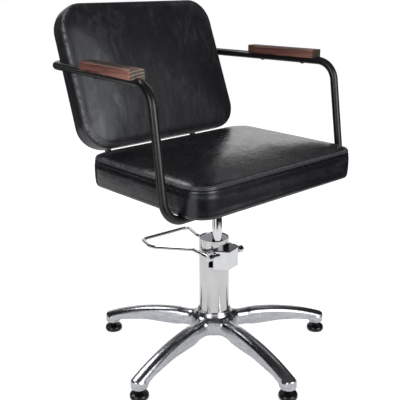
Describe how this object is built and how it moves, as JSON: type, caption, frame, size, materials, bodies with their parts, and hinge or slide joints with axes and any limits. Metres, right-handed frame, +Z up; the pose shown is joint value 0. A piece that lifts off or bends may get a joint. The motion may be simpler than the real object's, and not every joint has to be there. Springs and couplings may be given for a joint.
{
  "type": "hairdressing chair",
  "caption": "Upholstered salon chair with a bent-tube arm frame, wooden arm pads, a foot-pumped swivelling column and a star base on levelling glides.",
  "frame": {"origin": "on the floor, under the middle of the chair's whole box; the seat's swivel axis is 32 mm in front of it", "axes": "+Z up, the chair faces -Y, +X to the right of a viewer who stands in front of it"},
  "size_m": [0.612, 0.6622, 0.8878],
  "materials": {
    "polished_alloy": "polished casting",
    "black_plastic": "satin",
    "zinc_steel": "zinc plated",
    "chrome": "bright",
    "satin_steel": "satin",
    "black_coat": "satin",
    "bronze": "sintered",
    "plywood": "plain",
    "black_leather": "grained leatherette",
    "varnished_wood": "varnished"
  },
  "bodies": {
    "base": {"base_star": "polished_alloy", "pump_foot": "zinc_steel", "pump_bolts": "zinc_steel", "pump_cover": "chrome", "pump_cap": "satin_steel", "ram_tube": "zinc_steel", "gland_bush": "black_plastic", "plunger_barrel": "zinc_steel", "side_block": "chrome", "block_lid": "black_coat"},
    "lift": {"piston_rod": "chrome"},
    "seat": {"swivel_socket": "black_coat", "swivel_bush": "bronze", "thrust_washer": "bronze", "seat_plate": "black_coat", "seat_bolts": "zinc_steel", "front_hoop": "black_coat", "rear_hoop": "black_coat", "back_tube_left": "black_coat", "back_tube_right": "black_coat", "seat_board": "plywood", "seat_cushion": "black_leather", "back_board": "black_leather", "back_cushion": "black_leather", "back_spacers": "black_coat", "back_bolts": "black_coat", "hoop_screws": "black_coat", "arm_pad_left": "varnished_wood", "arm_pad_right": "varnished_wood", "pad_screws": "black_coat"},
    "pedal": {"pedal_shaft": "chrome", "pedal_rocker": "zinc_steel", "pedal_clamp_left": "chrome", "pedal_clamp_right": "chrome", "clamp_screws": "zinc_steel", "pedal_stirrup": "chrome"},
    "plunger": {"pump_plunger": "zinc_steel"},
    "glide_1": {"glide_foot_1": "black_plastic", "glide_stem_1": "zinc_steel"},
    "glide_2": {"glide_foot_2": "black_plastic", "glide_stem_2": "zinc_steel"},
    "glide_3": {"glide_foot_3": "black_plastic", "glide_stem_3": "zinc_steel"},
    "glide_4": {"glide_foot_4": "black_plastic", "glide_stem_4": "zinc_steel"},
    "glide_5": {"glide_foot_5": "black_plastic", "glide_stem_5": "zinc_steel"}
  },
  "joints": [
    {"name": "seat_lift", "type": "slide", "parent": "base", "child": "lift", "axis": [0, 0, 1], "range_m": [-0.09, 0.02]},
    {"name": "seat_swivel", "type": "hinge", "parent": "lift", "child": "seat", "pos_m": [0, -0.032, 0.474], "axis": [0, 0, 1], "continuous": true},
    {"name": "pedal_press", "type": "hinge", "parent": "base", "child": "pedal", "pos_m": [0.00555, -0.05485, 0.284], "axis": [-0.9966, 0.0819, 0], "range_deg": [0, 14], "stiffness_Nm_per_rad": 6, "springref_deg": -17.19},
    {"name": "plunger_stroke", "type": "slide", "parent": "base", "child": "plunger", "axis": [0, 0, -1], "range_m": [0, 0.0066]},
    {"name": "glide_level_1", "type": "slide", "parent": "base", "child": "glide_1", "axis": [0, 0, -1], "range_m": [0, 0.004]},
    {"name": "glide_level_2", "type": "slide", "parent": "base", "child": "glide_2", "axis": [0, 0, -1], "range_m": [0, 0.004]},
    {"name": "glide_level_3", "type": "slide", "parent": "base", "child": "glide_3", "axis": [0, 0, -1], "range_m": [0, 0.004]},
    {"name": "glide_level_4", "type": "slide", "parent": "base", "child": "glide_4", "axis": [0, 0, -1], "range_m": [0, 0.004]},
    {"name": "glide_level_5", "type": "slide", "parent": "base", "child": "glide_5", "axis": [0, 0, -1], "range_m": [0, 0.004]}
  ],
  "couplings": [
    {"joint": "plunger_stroke", "follows": "pedal_press", "m_per_rad": 0.026}
  ]
}
